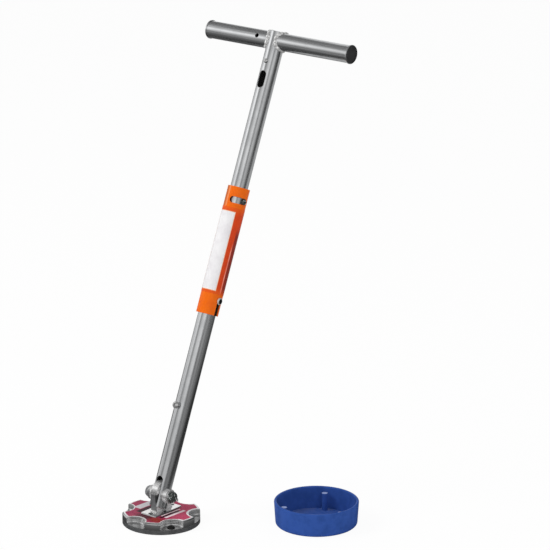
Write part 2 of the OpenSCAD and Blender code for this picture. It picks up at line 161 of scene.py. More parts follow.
def turn_from_front(tree, parts):
    """The angle round Z from the front, towards +X."""
    return calc(tree, "ARCTAN2", parts["X"], calc(tree, "MULTIPLY", parts["Y"], -1.0))


def both(tree, first, second):
    return calc(tree, "MULTIPLY", first, second)


def either(tree, first, second):
    return calc(tree, "MAXIMUM", first, second)


def inverse(tree, mask):
    return calc(tree, "SUBTRACT", 1.0, mask)


def band_mask(tree, value, low, high, soft):
    """1 where a value lies between low and high."""
    rise = spread(tree, value, low - soft, low + soft)
    fall = spread(tree, value, high + soft, high - soft)
    return both(tree, rise, fall)


def new_group(name, inputs, outputs):
    """An empty shader group: its tree, its input sockets and its output sockets."""
    tree = bpy.data.node_groups.new(name, "ShaderNodeTree")
    for socket, kind, value in inputs:
        made = tree.interface.new_socket(socket, in_out="INPUT", socket_type="NodeSocket" + kind)
        if value is not None:
            made.default_value = value
    for socket, kind in outputs:
        tree.interface.new_socket(socket, in_out="OUTPUT", socket_type="NodeSocket" + kind)
    return tree, tree.nodes.new("NodeGroupInput").outputs, tree.nodes.new("NodeGroupOutput").inputs


def place(tree, group, **inputs):
    made = add(tree, "ShaderNodeGroup", node_tree=group)
    for key, value in inputs.items():
        if isinstance(value, bpy.types.NodeSocket):
            tree.links.new(value, made.inputs[key])
        else:
            made.inputs[key].default_value = value
    return made.outputs


def pole_coordinates():
    """Object coordinates turned upright along the pole, with the turn round it from its front."""
    outputs = [("Vector", "Vector"), ("Turn", "Float"), ("Along", "Float")]
    tree, _, out = new_group("pole coordinates", [], outputs)
    turned = {"Vector": object_coordinates(tree), "Location": to_pole.translation, "Rotation": (lean, 0, 0)}
    upright = add(tree, "ShaderNodeMapping", turned).outputs[0]
    parts = parts_of(tree, upright)
    values = {"Vector": upright, "Turn": turn_from_front(tree, parts), "Along": parts["Z"]}
    for socket, value in values.items():
        tree.links.new(value, out[socket])
    return tree


def drawn_lines():
    """Fine lines along Z, such as a tube keeps from its die or a bar from its belt."""
    inputs = [("Vector", "Vector", None), ("Fineness", "Float", 900.0), ("Stretch", "Float", 0.012)]
    tree, given, out = new_group("drawn lines", inputs, [("Lines", "Float")])
    fine = given["Fineness"]
    scale = add(tree, "ShaderNodeCombineXYZ",
                {"X": fine, "Y": fine, "Z": calc(tree, "MULTIPLY", fine, given["Stretch"])})
    stretched = add(tree, "ShaderNodeVectorMath", {0: given["Vector"], 1: scale.outputs[0]},
                    operation="MULTIPLY")
    tree.links.new(noise(tree, stretched.outputs[0], 1.0, 4.0, 0.65), out["Lines"])
    return tree


def handling():
    """Soft smudges and fine specks from hands and use."""
    inputs = [("Vector", "Vector", None), ("Size", "Float", 40.0)]
    tree, given, out = new_group("handling", inputs, [("Smudge", "Float"), ("Specks", "Float")])
    broad = noise(tree, given["Vector"], given["Size"], 5.0, 0.6)
    tree.links.new(spread(tree, broad, 0.38, 0.68), out["Smudge"])
    fine = noise(tree, given["Vector"], calc(tree, "MULTIPLY", given["Size"], 22.0), 2.0, 0.5)
    tree.links.new(spread(tree, fine, 0.66, 0.74), out["Specks"])
    return tree


def soft_edges():
    """Rounded shading over sharp edges, and a mask of where those edges are."""
    outputs = [("Normal", "Vector"), ("Edge", "Float")]
    tree, given, out = new_group("soft edges", [("Radius", "Float", 0.6 * mm)], outputs)
    rounded = add(tree, "ShaderNodeBevel", {"Radius": given["Radius"]}, samples=6).outputs[0]
    flat = add(tree, "ShaderNodeNewGeometry").outputs["True Normal"]
    match = add(tree, "ShaderNodeVectorMath", {0: rounded, 1: flat}, operation="DOT_PRODUCT").outputs["Value"]
    tree.links.new(rounded, out["Normal"])
    tree.links.new(spread(tree, match, 0.99, 0.85), out["Edge"])
    return tree


def cove_distance():
    """How far a place is from the foot's axis, and from the axis of the cove nearest to it."""
    outputs = [("From Axis", "Float"), ("From Cove", "Float")]
    tree, given, out = new_group("cove distance", [("Vector", "Vector", None)], outputs)
    parts = parts_of(tree, given["Vector"])
    flat = add(tree, "ShaderNodeCombineXYZ", {"X": parts["X"], "Y": parts["Y"]}).outputs[0]
    radius = length_of(tree, flat)
    sector = 2 * math.pi / COVE_COUNT
    angle = calc(tree, "SUBTRACT", calc(tree, "ARCTAN2", parts["Y"], parts["X"]), COVE_TURN)
    nearest = calc(tree, "SNAP", calc(tree, "ADD", angle, sector / 2), sector)
    folded = calc(tree, "SUBTRACT", angle, nearest)
    fold_x = calc(tree, "MULTIPLY", radius, calc(tree, "COSINE", folded))
    fold_x = calc(tree, "SUBTRACT", fold_x, foot_r + COVE_OUT)
    fold_y = calc(tree, "MULTIPLY", radius, calc(tree, "SINE", folded))
    fold = add(tree, "ShaderNodeCombineXYZ", {"X": fold_x, "Y": fold_y}).outputs[0]
    tree.links.new(radius, out["From Axis"])
    tree.links.new(length_of(tree, fold), out["From Cove"])
    return tree


POLE = pole_coordinates()
LINES = drawn_lines()
HANDLING = handling()
EDGES = soft_edges()
COVES = cove_distance()


def new_material(name, **constants):
    """A material with a Principled shader whose constant sockets are set on it."""
    material = bpy.data.materials.new(name)
    material.use_nodes = True
    tree = material.node_tree
    shader = tree.nodes["Principled BSDF"]
    for socket, value in constants.items():
        shader.inputs[socket.replace("_", " ")].default_value = value
    return material, tree, shader.inputs


def plug_in(tree, shader, **sockets):
    for name, value in sockets.items():
        tree.links.new(value, shader[name.replace("_", " ")])


def bump(tree, height, strength, distance, normal=None):
    inputs = {"Height": height, "Strength": strength, "Distance": distance}
    if normal is not None:
        inputs["Normal"] = normal
    return add(tree, "ShaderNodeBump", inputs).outputs[0]


# Finishes

def plated_tube(name, along_handle):
    """Bright zinc on drawn tube: fine lines along it, soft smudges, and its inside painted near-black as
    shade.
    """
    material, tree, shader = new_material(name)
    vector = place(tree, POLE)["Vector"]
    if along_handle:
        turned = {"Vector": vector, "Rotation": (0, math.radians(90), 0), "Location": (-handle_z, 0, 0)}
        vector = add(tree, "ShaderNodeMapping", turned).outputs[0]
    from_axis = distance_from(tree, vector, (0, 0, 0), (1, 1, 0))
    outside = spread(tree, from_axis, tube_r - 1.2 * mm, tube_r - 0.3 * mm)
    lines = place(tree, LINES, Vector=vector)["Lines"]
    marks = place(tree, HANDLING, Vector=vector, Size=26.0)
    edge = place(tree, EDGES, Radius=0.5 * mm)
    lined = spread(tree, lines, 0.3, 0.7)
    colour = tint(tree, lined, (0.68, 0.69, 0.7), (0.82, 0.83, 0.84))
    colour = tint(tree, calc(tree, "MULTIPLY", marks["Smudge"], 0.3), colour, (0.55, 0.56, 0.58))
    # Painted shade: the tube's inside is coloured near-black.
    colour = tint(tree, outside, (0.03, 0.031, 0.031), colour)
    rough = spread(tree, lined, 0, 1, 0.12, 0.2)
    rough = calc(tree, "ADD", rough, calc(tree, "MULTIPLY", marks["Smudge"], 0.07))
    rough = calc(tree, "ADD", rough, calc(tree, "MULTIPLY", marks["Specks"], 0.12))
    rough = mix(tree, outside, 0.7, rough)
    plug_in(tree, shader, Base_Color=colour, Roughness=rough, Metallic=outside,
            Normal=bump(tree, lines, 0.12, 0.05 * mm, edge["Normal"]))
    return material


def zinc_hardware(name, base, rough, grain, metallic=1.0):
    """Zinc plated hardware: a faintly mottled satin plate, brighter along its edges."""
    material, tree, shader = new_material(name, Metallic=metallic)
    vector = object_coordinates(tree)
    marks = place(tree, HANDLING, Vector=vector, Size=90.0)
    edge = place(tree, EDGES, Radius=0.5 * mm)
    mottle = noise(tree, vector, grain, 4.0, 0.6)
    dull_tone_and_shade = tuple(0.86 * part for part in base)
    colour = tint(tree, spread(tree, mottle, 0.3, 0.7), dull_tone_and_shade, base)
    colour = tint(tree, calc(tree, "MULTIPLY", edge["Edge"], 0.5), colour, (0.8, 0.8, 0.8))
    mottled = spread(tree, mottle, 0.25, 0.75, *rough)
    smudged = calc(tree, "ADD", mottled, calc(tree, "MULTIPLY", marks["Smudge"], 0.08))
    plug_in(tree, shader, Base_Color=colour, Roughness=smudged,
            Normal=bump(tree, mottle, 0.06, 0.1 * mm, edge["Normal"]))
    return material


def lug_steel():
    """Forged steel: a plain darker grey on its front, a painted highlight over its round top, painted shade
    beside the fork, and painted light on its low side faces.
    """
    material, tree, shader = new_material("lug_steel")
    vector = object_coordinates(tree)
    parts = parts_of(tree, vector)
    marks = place(tree, HANDLING, Vector=vector, Size=70.0)
    edge = place(tree, EDGES, Radius=0.6 * mm)
    lug_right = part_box("hinge_lug")[1].x
    highlight_start, highlight_full = hinge.z + 3 * mm, hinge.z + 8 * mm
    shade_start, shade_full = lug_right - 4.2 * mm, lug_right - 2.8 * mm
    weld_end, cheek_end = hinge.z - 16 * mm, hinge.z - 8 * mm
    # Masks of the painted highlight over the round top, the painted shade beside the fork, and the painted
    # light on the low side faces.
    wear_and_highlight = spread(tree, parts["Z"], highlight_start, highlight_full)
    beside_fork = spread(tree, parts["X"], shade_start, shade_full)
    above_weld = spread(tree, parts["Z"], weld_end, cheek_end)
    painted_shade = both(tree, both(tree, beside_fork, above_weld), inverse(tree, wear_and_highlight))
    cheek = spread(tree, calc(tree, "ABSOLUTE", parts_of(tree, object_normal(tree))["X"]), 0.4, 0.7)
    low_side_light = both(tree, cheek, inverse(tree, above_weld))
    dull_tone_and_shade = tint(tree, marks["Smudge"], (0.26, 0.262, 0.27), (0.34, 0.342, 0.35))
    # The painted highlight, the painted shade and the painted light, in that order.
    colour = tint(tree, wear_and_highlight, dull_tone_and_shade, (0.86, 0.86, 0.86))
    colour = tint(tree, calc(tree, "MULTIPLY", painted_shade, 0.8), colour, (0.03, 0.031, 0.032))
    colour = tint(tree, low_side_light, colour, (0.8, 0.8, 0.8))
    rough = mix(tree, wear_and_highlight, 0.3, 0.18)
    grain = noise(tree, vector, 500.0, 3.0)
    plug_in(tree, shader, Base_Color=colour, Roughness=rough, Metallic=mix(tree, low_side_light, 0.8, 0.1),
            Normal=bump(tree, grain, 0.05, 0.1 * mm, edge["Normal"]))
    return material


def weld_metal():
    """Zinc over a weld: bright lumps with a little soot between them."""
    material, tree, shader = new_material("weld_zinc", Metallic=0.55)
    vector = object_coordinates(tree)
    mottle = noise(tree, vector, 260.0, 3.0)
    colour = tint(tree, spread(tree, mottle, 0.35, 0.55), (0.5, 0.5, 0.5), (0.94, 0.94, 0.93))
    rough = spread(tree, mottle, 0.25, 0.75, 0.16, 0.3)
    plug_in(tree, shader, Base_Color=colour, Roughness=rough, Normal=bump(tree, mottle, 0.1, 0.2 * mm))
    return material


def boss_zinc():
    """Mottled zinc on the pivot's collars, with painted shade low on the left one's outer side."""
    material, tree, shader = new_material("boss_zinc")
    vector = object_coordinates(tree)
    parts = parts_of(tree, vector)
    edge = place(tree, EDGES, Radius=0.5 * mm)
    left_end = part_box("pivot_bosses")[0].x
    inner_edge, outer_edge = left_end + 7 * mm, left_end + 3.5 * mm
    shade_top, shade_full = hinge.z + 11 * mm, hinge.z + 7 * mm
    # Painted shade low on the left collar's outer side, darker and less metallic.
    outer = spread(tree, parts["X"], inner_edge, outer_edge)
    low = spread(tree, parts["Z"], shade_top, shade_full)
    painted_shade = both(tree, outer, low)
    mottle = noise(tree, vector, 200.0, 4.0, 0.6)
    colour = tint(tree, spread(tree, mottle, 0.3, 0.7), (0.72, 0.72, 0.72), (0.88, 0.88, 0.88))
    colour = tint(tree, calc(tree, "MULTIPLY", edge["Edge"], 0.5), colour, (0.8, 0.8, 0.8))
    colour = tint(tree, calc(tree, "MULTIPLY", painted_shade, 0.85), colour, (0.12, 0.122, 0.126))
    rough = spread(tree, mottle, 0.25, 0.75, 0.16, 0.28)
    plug_in(tree, shader, Base_Color=colour, Roughness=rough, Metallic=mix(tree, painted_shade, 0.7, 0.5),
            Normal=bump(tree, mottle, 0.06, 0.1 * mm, edge["Normal"]))
    return material


def rivet_zinc():
    """The zinc of a drawn rivet, with the pit that its pin leaves painted dark as shade, and a painted shadow
    under the lower edge of its head.
    """
    material, tree, shader = new_material("rivet_zinc", Metallic=0.8)
    vector = place(tree, POLE)["Vector"]
    middle = to_pole @ centre_of("bung_rivet")
    head_r = size_of("bung_rivet").x / 2
    away = distance_from(tree, vector, (middle.x, 0, middle.z), (1, 0, 1))
    pit_edge, pit_floor = 1.3 * mm, 0.7 * mm
    rim_start, rim_full = head_r - 1.2 * mm, head_r - 0.4 * mm
    # Painted shade in the pit, and a painted shadow ring under the lower edge of the head.
    pit = spread(tree, away, pit_edge, pit_floor)
    rim = spread(tree, away, rim_start, rim_full)
    lower_half = spread(tree, parts_of(tree, vector)["Z"], middle.z, middle.z - 1.5 * mm)
    mottle = noise(tree, vector, 700.0, 3.0)
    colour = tint(tree, spread(tree, mottle, 0.3, 0.7), (0.66, 0.66, 0.66), (0.84, 0.84, 0.84))
    colour = tint(tree, either(tree, pit, both(tree, rim, lower_half)), colour, (0.06, 0.06, 0.06))
    rough = spread(tree, mottle, 0.25, 0.75, 0.16, 0.3)
    sunk = calc(tree, "MULTIPLY", pit, -1.0)
    plug_in(tree, shader, Base_Color=colour, Roughness=rough, Normal=bump(tree, sunk, 0.6, 0.5 * mm))
    return material


def cover_plating():
    """Bright plating: finger smudges, a faint ripple, and cut coves with painted light on them, darker
    towards their feet.
    """
    material, tree, shader = new_material("cover_plating")
    vector = object_coordinates(tree)
    from_cove = place(tree, COVES, Vector=vector)["From Cove"]
    uncut, cut_full = COVE_R + 0.6 * mm, COVE_R + 0.2 * mm
    dark_foot_top, dark_foot_full = 13 * mm, 9 * mm
    cut = spread(tree, from_cove, uncut, cut_full)
    cove_foot = spread(tree, parts_of(tree, vector)["Z"], dark_foot_top, dark_foot_full)
    marks = place(tree, HANDLING, Vector=vector, Size=45.0)
    edge = place(tree, EDGES, Radius=0.8 * mm)
    colour = tint(tree, marks["Smudge"], (0.78, 0.78, 0.79), (0.66, 0.67, 0.68))
    # Painted light on the coves, lighter and less metallic than the rest; darker towards their feet.
    colour = tint(tree, cut, colour, (0.86, 0.86, 0.86))
    colour = tint(tree, both(tree, cut, cove_foot), colour, (0.36, 0.363, 0.366))
    rough = spread(tree, marks["Smudge"], 0, 1, 0.09, 0.2)
    rough = calc(tree, "ADD", rough, calc(tree, "MULTIPLY", marks["Specks"], 0.1))
    ripple = noise(tree, vector, 110.0, 2.0)
    plug_in(tree, shader, Base_Color=colour, Roughness=rough, Metallic=mix(tree, cut, 1.0, 0.82),
            Normal=bump(tree, ripple, 0.08, 0.15 * mm, edge["Normal"]))
    return material


def pot_paint():
    """Dark grey stove enamel with a light texture, rubbed along the rim."""
    material, tree, shader = new_material("pot_enamel", Metallic=0.0)
    vector = object_coordinates(tree)
    marks = place(tree, HANDLING, Vector=vector, Size=60.0)
    edge = place(tree, EDGES, Radius=0.7 * mm)
    peel = noise(tree, vector, 1500.0, 2.0)
    colour = tint(tree, marks["Smudge"], (0.068, 0.07, 0.073), (0.098, 0.1, 0.102))
    colour = tint(tree, calc(tree, "MULTIPLY", edge["Edge"], 0.35), colour, (0.24, 0.24, 0.24))
    rough = spread(tree, marks["Smudge"], 0, 1, 0.36, 0.5)
    plug_in(tree, shader, Base_Color=colour, Roughness=rough,
            Normal=bump(tree, peel, 0.2, 0.06 * mm, edge["Normal"]))
    return material


# The bars of the foot's label, in millimetres: left, right, near and far
SILVER_BAR = (-50.5, -34, -22, 28)
# This bar is a painted shadow beside the plate's right edge; the other dark bars are ink.
PLATE_SHADOW_BAR = (18, 20.5, -28, 30)
BROAD_SHADE = (24, 30.5, -31, 20)
LEFT_SHADE = (-31.5, -20, -36, 24)
THIN_BAR = (20.8, 23.6, -23, 28)
BROAD_BAR = (31, 37, -25, 28)
# Its painted shadow and painted reflection pools, in millimetres: place and reach along X and Y
SHADOW_POOL = (0, -44, 32, 20)
REFLECTION_POOL = (27, -46, 22, 17)
BARS_TURN = math.radians(3)
# The width of its pale rim, and of the worn rim beside the cove at its right
LABEL_RIM = 0.8 * mm
LABEL_WORN_RIM = 2.8 * mm
WORN_START, WORN_FULL = 45 * mm, 50 * mm
WORN_SLOPE = 0.5
# How far towards the right and the back its magenta is painted lighter, as painted light
PAINTED_LIGHT_REACH = 60 * mm
PAINTED_LIGHT_SLOPE = 0.6
PRINT_SOFT = 0.15 * mm


def ink_and_shadow_bar(tree, parts, left, right, near, far):
    """A bar with straight sides, given in millimetres: ink, and in one place a painted shadow."""
    across = band_mask(tree, parts["X"], left * mm, right * mm, PRINT_SOFT)
    return both(tree, across, band_mask(tree, parts["Y"], near * mm, far * mm, PRINT_SOFT))


def soft_pool(tree, vector, centre_x, centre_y, reach_x, reach_y):
    """A soft round pool of colour, given in millimetres."""
    centre = (centre_x * mm, centre_y * mm, 0)
    reach = (reach_x * mm, reach_y * mm, 1)
    offset = add(tree, "ShaderNodeVectorMath", {0: vector, 1: centre}, operation="SUBTRACT").outputs[0]
    shares = add(tree, "ShaderNodeVectorMath", {0: offset, 1: reach}, operation="DIVIDE").outputs[0]
    return spread(tree, length_of(tree, shares), 1.0, 0.3)


def to_far_right(tree, parts, slope):
    """A distance along X that also grows with Y."""
    return calc(tree, "ADD", parts["X"], calc(tree, "MULTIPLY", parts["Y"], slope))


def label_rims(tree, vector, parts):
    """The pale rim round the foot's label, worn wider beside the cove at its right."""
    distances = place(tree, COVES, Vector=vector)
    rim_start = size_of("foot_label").x / 2 - LABEL_RIM
    cove_rim = COVE_R + LABEL_MARGIN + LABEL_RIM
    worn_rim = COVE_R + LABEL_MARGIN + LABEL_WORN_RIM
    soft = PRINT_SOFT
    outer = spread(tree, distances["From Axis"], rim_start - soft, rim_start + soft)
    inner = spread(tree, distances["From Cove"], cove_rim + soft, cove_rim - soft)
    worn = spread(tree, distances["From Cove"], worn_rim + soft, worn_rim - soft)
    by_right_cove = spread(tree, to_far_right(tree, parts, WORN_SLOPE), WORN_START, WORN_FULL)
    return either(tree, either(tree, outer, inner), both(tree, worn, by_right_cove))


def foot_print():
    """The foot's printed label: magenta with a pale rim, a silver bar and pale bars beside the hinge."""
    material, tree, shader = new_material("foot_print", Specular_IOR_Level=0.04)
    vector = object_coordinates(tree)
    parts = parts_of(tree, vector)
    flat = add(tree, "ShaderNodeCombineXYZ", {"X": parts["X"], "Y": parts["Y"]}).outputs[0]
    askew = add(tree, "ShaderNodeMapping", {"Vector": flat, "Rotation": (0, 0, BARS_TURN)}).outputs[0]
    bars = parts_of(tree, askew)
    dark_ink_and_shadow = either(tree, ink_and_shadow_bar(tree, bars, *PLATE_SHADOW_BAR), ink_and_shadow_bar(tree, bars, *BROAD_SHADE))
    dark_ink_and_shadow = either(tree, dark_ink_and_shadow, ink_and_shadow_bar(tree, bars, *LEFT_SHADE))
    pale_bars = either(tree, ink_and_shadow_bar(tree, bars, *THIN_BAR), ink_and_shadow_bar(tree, bars, *BROAD_BAR))
    bright = spread(tree, to_far_right(tree, parts, PAINTED_LIGHT_SLOPE), 0, PAINTED_LIGHT_REACH)
    marks = place(tree, HANDLING, Vector=vector, Size=70.0)
    colour = tint(tree, marks["Smudge"], (0.36, 0.034, 0.088), (0.32, 0.034, 0.09))
    # Painted light: the magenta turns lighter towards the right and the back.
    colour = tint(tree, bright, colour, (0.5, 0.042, 0.115))
    # A painted shadow in front of the plate, and a painted reflection of the orange sleeve.
    colour = tint(tree, soft_pool(tree, flat, *SHADOW_POOL), colour, (0.085, 0.014, 0.026))
    colour = tint(tree, soft_pool(tree, flat, *REFLECTION_POOL), colour, (0.3, 0.034, 0.03))
    # Dark ink bars, and a painted shadow beside the plate's right edge.
    colour = tint(tree, dark_ink_and_shadow, colour, (0.05, 0.014, 0.022))
    colour = tint(tree, ink_and_shadow_bar(tree, bars, *SILVER_BAR), colour, (0.62, 0.6, 0.62))
    colour = tint(tree, pale_bars, colour, (0.88, 0.72, 0.76))
    colour = tint(tree, label_rims(tree, vector, parts), colour, (0.86, 0.84, 0.84))
    rough = spread(tree, marks["Smudge"], 0, 1, 0.25, 0.38)
    grain = noise(tree, vector, 2200.0, 1.0)
    plug_in(tree, shader, Base_Color=colour, Roughness=rough, Normal=bump(tree, grain, 0.06, 0.03 * mm))
    return material


# The painted shade and painted highlight strips at the sleeve's upper end: places along it from its middle,
# and round it from its front
STRIP_START, STRIP_FULL = 78 * mm, 88 * mm
SHADE_STRIP_SIDES = (-18 * mm, -8 * mm)
HIGHLIGHT_STRIP_SIDES = (-6.4 * mm, -3 * mm)
STRIP_SOFT = 1.2 * mm


def sleeve_paint():
    """Gloss orange enamel with a fine peel, a painted shade strip and a painted highlight strip at its upper
    end, over bare steel where it is cut, painted near-black as shade.
    """
    gloss = {"Specular_IOR_Level": 0.1, "Coat_Weight": 0.03, "Coat_Roughness": 0.1}
    material, tree, shader = new_material("sleeve_enamel", **gloss)
    pole_place = place(tree, POLE)
    vector = pole_place["Vector"]
    marks = place(tree, HANDLING, Vector=vector, Size=55.0)
    edge = place(tree, EDGES, Radius=0.6 * mm)
    peel = noise(tree, vector, 900.0, 2.0)
    arc = calc(tree, "MULTIPLY", pole_place["Turn"], sleeve_r)
    upper_end = spread(tree, pole_place["Along"], sleeve_mid + STRIP_START, sleeve_mid + STRIP_FULL)
    # Masks of a painted shade strip and a painted highlight strip at the upper end.
    dull_tone_and_shade = both(tree, band_mask(tree, arc, *SHADE_STRIP_SIDES, STRIP_SOFT), upper_end)
    wear_and_highlight = both(tree, band_mask(tree, arc, *HIGHLIGHT_STRIP_SIDES, STRIP_SOFT), upper_end)
    chips = both(tree, edge["Edge"], spread(tree, noise(tree, vector, 500.0, 3.0), 0.48, 0.6))
    from_axis = distance_from(tree, vector, (0, 0, 0), (1, 1, 0))
    skin = spread(tree, from_axis, sleeve_r - 1.6 * mm, sleeve_r - 0.5 * mm)
    colour = tint(tree, marks["Smudge"], (0.84, 0.15, 0.006), (0.78, 0.125, 0.006))
    # The painted shade strip, then the painted highlight strip.
    colour = tint(tree, calc(tree, "MULTIPLY", dull_tone_and_shade, 0.7), colour, (0.42, 0.12, 0.03))
    colour = tint(tree, calc(tree, "MULTIPLY", wear_and_highlight, 0.7), colour, (0.8, 0.34, 0.15))
    colour = tint(tree, calc(tree, "MULTIPLY", chips, 0.5), colour, (0.9, 0.45, 0.2))
    # Cut faces and the inside: bare steel, painted near-black as shade.
    colour = tint(tree, skin, (0.03, 0.018, 0.012), colour)
    rough = spread(tree, marks["Smudge"], 0, 1, 0.26, 0.36)
    plug_in(tree, shader, Base_Color=colour, Roughness=rough,
            Normal=bump(tree, peel, 0.1, 0.05 * mm, edge["Normal"]))
    return material


# The wrapped label's panel, its painted shade and its painted highlight: places round it from its front, and
# along it from its middle
PANEL_SIDES, PANEL_ENDS = (-17 * mm, 18.8 * mm), (-76.5 * mm, 74.5 * mm)
SHADE_SIDES, SHADE_ENDS = (32 * mm, 46 * mm), (-78 * mm, 40 * mm)
HIGHLIGHT_SIDES, HIGHLIGHT_ENDS = (29.4 * mm, 31.2 * mm), (-76 * mm, 12 * mm)
SHADE_SOFT, SHADE_END_SOFT = 0.8 * mm, 12 * mm
HIGHLIGHT_SOFT, HIGHLIGHT_END_SOFT = 0.7 * mm, 10 * mm
PANEL_BORDER = 1.1 * mm
LABEL_FADE = 15 * mm


def wrap_print():
    """The sleeve's wrapped label: red-orange film with a pale bare panel and its thin border."""
    gloss = {"Specular_IOR_Level": 0.14, "Coat_Weight": 0.06, "Coat_Roughness": 0.1}
    material, tree, shader = new_material("wrap_print", **gloss)
    pole_place = place(tree, POLE)
    vector = pole_place["Vector"]
    marks = place(tree, HANDLING, Vector=vector, Size=50.0)
    arc = calc(tree, "MULTIPLY", pole_place["Turn"], label_r)
    along = calc(tree, "SUBTRACT", pole_place["Along"], sleeve_mid)

    def patch(sides, ends, grown, soft, end_soft):
        """A mask between two places round the label and two along it."""
        across = band_mask(tree, arc, sides[0] - grown, sides[1] + grown, soft)
        return both(tree, across, band_mask(tree, along, ends[0] - grown, ends[1] + grown, end_soft))

    panel = patch(PANEL_SIDES, PANEL_ENDS, 0, PRINT_SOFT, PRINT_SOFT)
    framed = patch(PANEL_SIDES, PANEL_ENDS, PANEL_BORDER, PRINT_SOFT, PRINT_SOFT)
    shade = patch(SHADE_SIDES, SHADE_ENDS, 0, SHADE_SOFT, SHADE_END_SOFT)
    highlight_streak = patch(HIGHLIGHT_SIDES, HIGHLIGHT_ENDS, 0, HIGHLIGHT_SOFT, HIGHLIGHT_END_SOFT)
    uneven = spread(tree, noise(tree, vector, 90.0, 2.0), 0.35, 0.6, 0.45, 0.9)
    from_middle = calc(tree, "ABSOLUTE", along)
    ends = spread(tree, from_middle, label_length / 2 - LABEL_FADE, label_length / 2)
    colour = tint(tree, marks["Smudge"], (0.69, 0.062, 0.01), (0.62, 0.05, 0.009))
    colour = tint(tree, ends, colour, (0.76, 0.1, 0.008))
    # Painted shade down the label's right side, then a pale painted highlight line beside it.
    colour = tint(tree, shade, colour, (0.27, 0.028, 0.016))
    colour = tint(tree, both(tree, highlight_streak, uneven), colour, (0.88, 0.4, 0.32))
    colour = tint(tree, framed, colour, (0.84, 0.48, 0.28))
    paper = tint(tree, marks["Smudge"], (0.83, 0.82, 0.83), (0.76, 0.74, 0.76))
    colour = tint(tree, panel, colour, paper)
    rough = spread(tree, marks["Smudge"], 0, 1, 0.28, 0.42)
    ripple = noise(tree, vector, 130.0, 2.0)
    plug_in(tree, shader, Base_Color=colour, Roughness=rough, Normal=bump(tree, ripple, 0.1, 0.12 * mm))
    return material


def moulded_plastic(name, light, dark, rough, wear_and_highlight):
    """Moulded plastic: a fine spark grain, slightly scuffed, rubbed pale along its edges."""
    material, tree, shader = new_material(name, Specular_IOR_Level=0.22)
    vector = object_coordinates(tree)
    marks = place(tree, HANDLING, Vector=vector, Size=48.0)
    edge = place(tree, EDGES, Radius=0.8 * mm)
    spark = noise(tree, vector, 1600.0, 2.0)
    colour = tint(tree, marks["Smudge"], light, dark)
    pale = tuple(1.6 * part + 0.02 for part in light)
    colour = tint(tree, calc(tree, "MULTIPLY", edge["Edge"], wear_and_highlight), colour, pale)
    scuffed = spread(tree, marks["Smudge"], 0, 1, *rough)
    plug_in(tree, shader, Base_Color=colour, Roughness=scuffed,
            Normal=bump(tree, spark, 0.16, 0.05 * mm, edge["Normal"]))
    return material


def cap_plastic():
    """Blue moulded plastic with a fine grain: painted shade on the floor, and a painted highlight on the
    posts' tops.
    """
    material, tree, shader = new_material("cap_plastic", Specular_IOR_Level=0.025)
    vector = object_coordinates(tree)
    height = parts_of(tree, vector)["Z"]
    floor_end, floor_full = 10 * mm, 6 * mm
    post_low, post_high, post_soft = 30 * mm, 40 * mm, 1 * mm
    upward = spread(tree, parts_of(tree, object_normal(tree))["Z"], 0.85, 0.95)
    floor = both(tree, upward, spread(tree, height, floor_end, floor_full))
    post_top_highlight = both(tree, upward, band_mask(tree, height, post_low, post_high, post_soft))
    marks = place(tree, HANDLING, Vector=vector, Size=48.0)
    edge = place(tree, EDGES, Radius=0.8 * mm)
    spark = noise(tree, vector, 1400.0, 2.0)
    colour = tint(tree, marks["Smudge"], (0.036, 0.094, 0.36), (0.028, 0.077, 0.3))
    # Painted shade on the floor inside the cup.
    colour = tint(tree, floor, colour, (0.014, 0.068, 0.32))
    colour = tint(tree, calc(tree, "MULTIPLY", edge["Edge"], 0.12), colour, (0.066, 0.156, 0.58))
    # Painted highlight on the posts' tops.
    colour = tint(tree, post_top_highlight, colour, (0.27, 0.34, 0.6))
    rough = spread(tree, marks["Smudge"], 0, 1, 0.33, 0.45)
    plug_in(tree, shader, Base_Color=colour, Roughness=rough,
            Normal=bump(tree, spark, 0.16, 0.05 * mm, edge["Normal"]))
    return material


def end_plug():
    """A black plug's grained face inside the bright rolled rim of its tube."""
    material, tree, shader = new_material("end_plug", Specular_IOR_Level=0.22)
    vector = object_coordinates(tree)
    side = calc(tree, "SIGN", parts_of(tree, vector)["X"])
    outward = calc(tree, "MULTIPLY", parts_of(tree, object_normal(tree))["X"], side)
    face = spread(tree, outward, 0.78, 0.92)
    marks = place(tree, HANDLING, Vector=vector, Size=60.0)
    spark = noise(tree, vector, 1600.0, 2.0)
    black = tint(tree, marks["Smudge"], (0.022, 0.022, 0.023), (0.034, 0.034, 0.035))
    colour = tint(tree, face, (0.8, 0.81, 0.82), black)
    rough = mix(tree, face, 0.2, spread(tree, marks["Smudge"], 0, 1, 0.38, 0.52))
    plug_in(tree, shader, Base_Color=colour, Roughness=rough, Metallic=inverse(tree, face),
            Normal=bump(tree, spark, 0.12, 0.05 * mm))
    return material


def dark_bolt():
    """Black oxide with a faint green cast, worn to steel in specks and at the corners."""
    material, tree, shader = new_material("bolt_oxide", Metallic=0.6)
    vector = object_coordinates(tree)
    marks = place(tree, HANDLING, Vector=vector, Size=160.0)
    edge = place(tree, EDGES, Radius=0.5 * mm)
    mottle = noise(tree, vector, 700.0, 4.0)
    colour = tint(tree, marks["Smudge"], (0.05, 0.062, 0.058), (0.1, 0.116, 0.11))
    worn = spread(tree, noise(tree, vector, 300.0, 2.0), 0.59, 0.63)
    colour = tint(tree, worn, colour, (0.85, 0.87, 0.86))
    colour = tint(tree, calc(tree, "MULTIPLY", edge["Edge"], 0.5), colour, (0.5, 0.51, 0.51))
    rough = spread(tree, marks["Smudge"], 0, 1, 0.28, 0.45)
    plug_in(tree, shader, Base_Color=colour, Roughness=rough,
            Normal=bump(tree, mottle, 0.2, 0.06 * mm, edge["Normal"]))
    return material


